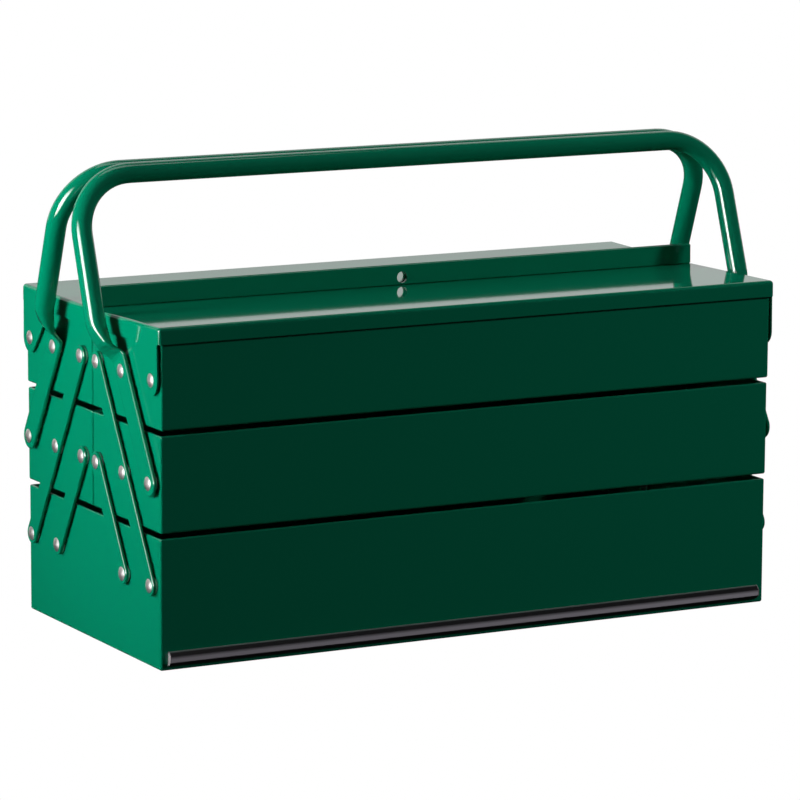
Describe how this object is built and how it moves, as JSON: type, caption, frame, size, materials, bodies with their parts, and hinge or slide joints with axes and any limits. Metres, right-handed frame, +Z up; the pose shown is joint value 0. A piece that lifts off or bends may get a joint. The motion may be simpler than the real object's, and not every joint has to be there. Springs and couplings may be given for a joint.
{
  "type": "cantilever tool box",
  "caption": "Sheet steel cantilever tool box, closed: base tray, stepped middle and top trays on riveted links, hinged lids and two tube carrying handles.",
  "frame": {"origin": "on the floor, under the middle of the base tray", "axes": "+Z up, +X along the length to the right as seen from the front, -Y towards the front of the box"},
  "size_m": [0.483, 0.2072, 0.305],
  "materials": {
    "green_paint": "gloss powder coat",
    "lid_paint": "gloss powder coat",
    "handle_paint": "gloss powder coat",
    "link_paint": "gloss powder coat",
    "zinc": "bright zinc plate",
    "trim": "satin"
  },
  "bodies": {
    "base": {"base_tray": "green_paint", "bottom_trim": "trim", "base_rivets": "zinc", "base_spacers": "zinc"},
    "front_long_links": {"front_long_link_left": "link_paint", "front_long_link_right": "link_paint"},
    "front_short_links": {"front_short_link_left": "link_paint", "front_short_link_right": "link_paint"},
    "front_middle": {"front_middle_tray": "green_paint", "front_middle_rivets": "zinc", "front_middle_spacers": "zinc"},
    "front_top": {"front_top_tray": "green_paint", "front_top_rivets": "zinc", "front_top_spacers": "zinc"},
    "front_handle": {"front_handle": "handle_paint"},
    "front_lid": {"front_lid": "lid_paint"},
    "rear_long_links": {"rear_long_link_left": "link_paint", "rear_long_link_right": "link_paint"},
    "rear_short_links": {"rear_short_link_left": "link_paint", "rear_short_link_right": "link_paint"},
    "rear_middle": {"rear_middle_tray": "green_paint", "rear_middle_rivets": "zinc", "rear_middle_spacers": "zinc"},
    "rear_top": {"rear_top_tray": "green_paint", "rear_top_rivets": "zinc", "rear_top_spacers": "zinc"},
    "rear_handle": {"rear_handle": "handle_paint"},
    "rear_lid": {"rear_lid": "lid_paint"}
  },
  "joints": [
    {"name": "front_spread", "type": "hinge", "parent": "base", "child": "front_long_links", "pos_m": [0, -0.09, 0.0525], "axis": [1, 0, 0], "range_deg": [0, 66]},
    {"name": "front_middle_level", "type": "hinge", "parent": "front_long_links", "child": "front_middle", "pos_m": [0, -0.051, 0.117], "axis": [1, 0, 0], "range_deg": [-66, 0]},
    {"name": "front_top_level", "type": "hinge", "parent": "front_long_links", "child": "front_top", "pos_m": [0, -0.012, 0.1815], "axis": [1, 0, 0], "range_deg": [-66, 0]},
    {"name": "front_short_link_turn", "type": "hinge", "parent": "base", "child": "front_short_links", "pos_m": [0, -0.05, 0.0525], "axis": [1, 0, 0], "range_deg": [0, 66]},
    {"name": "front_handle_turn", "type": "hinge", "parent": "front_top", "child": "front_handle", "pos_m": [0, -0.052, 0.1815], "axis": [1, 0, 0], "range_deg": [0, 66]},
    {"name": "front_lid_open", "type": "hinge", "parent": "front_top", "child": "front_lid", "pos_m": [0, -0.092, 0.1815], "axis": [1, 0, 0], "range_deg": [0, 110]},
    {"name": "rear_spread", "type": "hinge", "parent": "base", "child": "rear_long_links", "pos_m": [0, 0.09, 0.0525], "axis": [-1, 0, 0], "range_deg": [0, 66]},
    {"name": "rear_middle_level", "type": "hinge", "parent": "rear_long_links", "child": "rear_middle", "pos_m": [0, 0.051, 0.117], "axis": [-1, 0, 0], "range_deg": [-66, 0]},
    {"name": "rear_top_level", "type": "hinge", "parent": "rear_long_links", "child": "rear_top", "pos_m": [0, 0.012, 0.1815], "axis": [-1, 0, 0], "range_deg": [-66, 0]},
    {"name": "rear_short_link_turn", "type": "hinge", "parent": "base", "child": "rear_short_links", "pos_m": [0, 0.05, 0.0525], "axis": [-1, 0, 0], "range_deg": [0, 66]},
    {"name": "rear_handle_turn", "type": "hinge", "parent": "rear_top", "child": "rear_handle", "pos_m": [0, 0.052, 0.1815], "axis": [-1, 0, 0], "range_deg": [0, 66]},
    {"name": "rear_lid_open", "type": "hinge", "parent": "rear_top", "child": "rear_lid", "pos_m": [0, 0.092, 0.1815], "axis": [-1, 0, 0], "range_deg": [0, 110]}
  ],
  "couplings": [
    {"joint": "front_middle_level", "follows": "front_spread", "ratio": -1},
    {"joint": "front_top_level", "follows": "front_spread", "ratio": -1},
    {"joint": "front_short_link_turn", "follows": "front_spread", "ratio": 1},
    {"joint": "front_handle_turn", "follows": "front_spread", "ratio": 1},
    {"joint": "rear_middle_level", "follows": "rear_spread", "ratio": -1},
    {"joint": "rear_top_level", "follows": "rear_spread", "ratio": -1},
    {"joint": "rear_short_link_turn", "follows": "rear_spread", "ratio": 1},
    {"joint": "rear_handle_turn", "follows": "rear_spread", "ratio": 1}
  ]
}
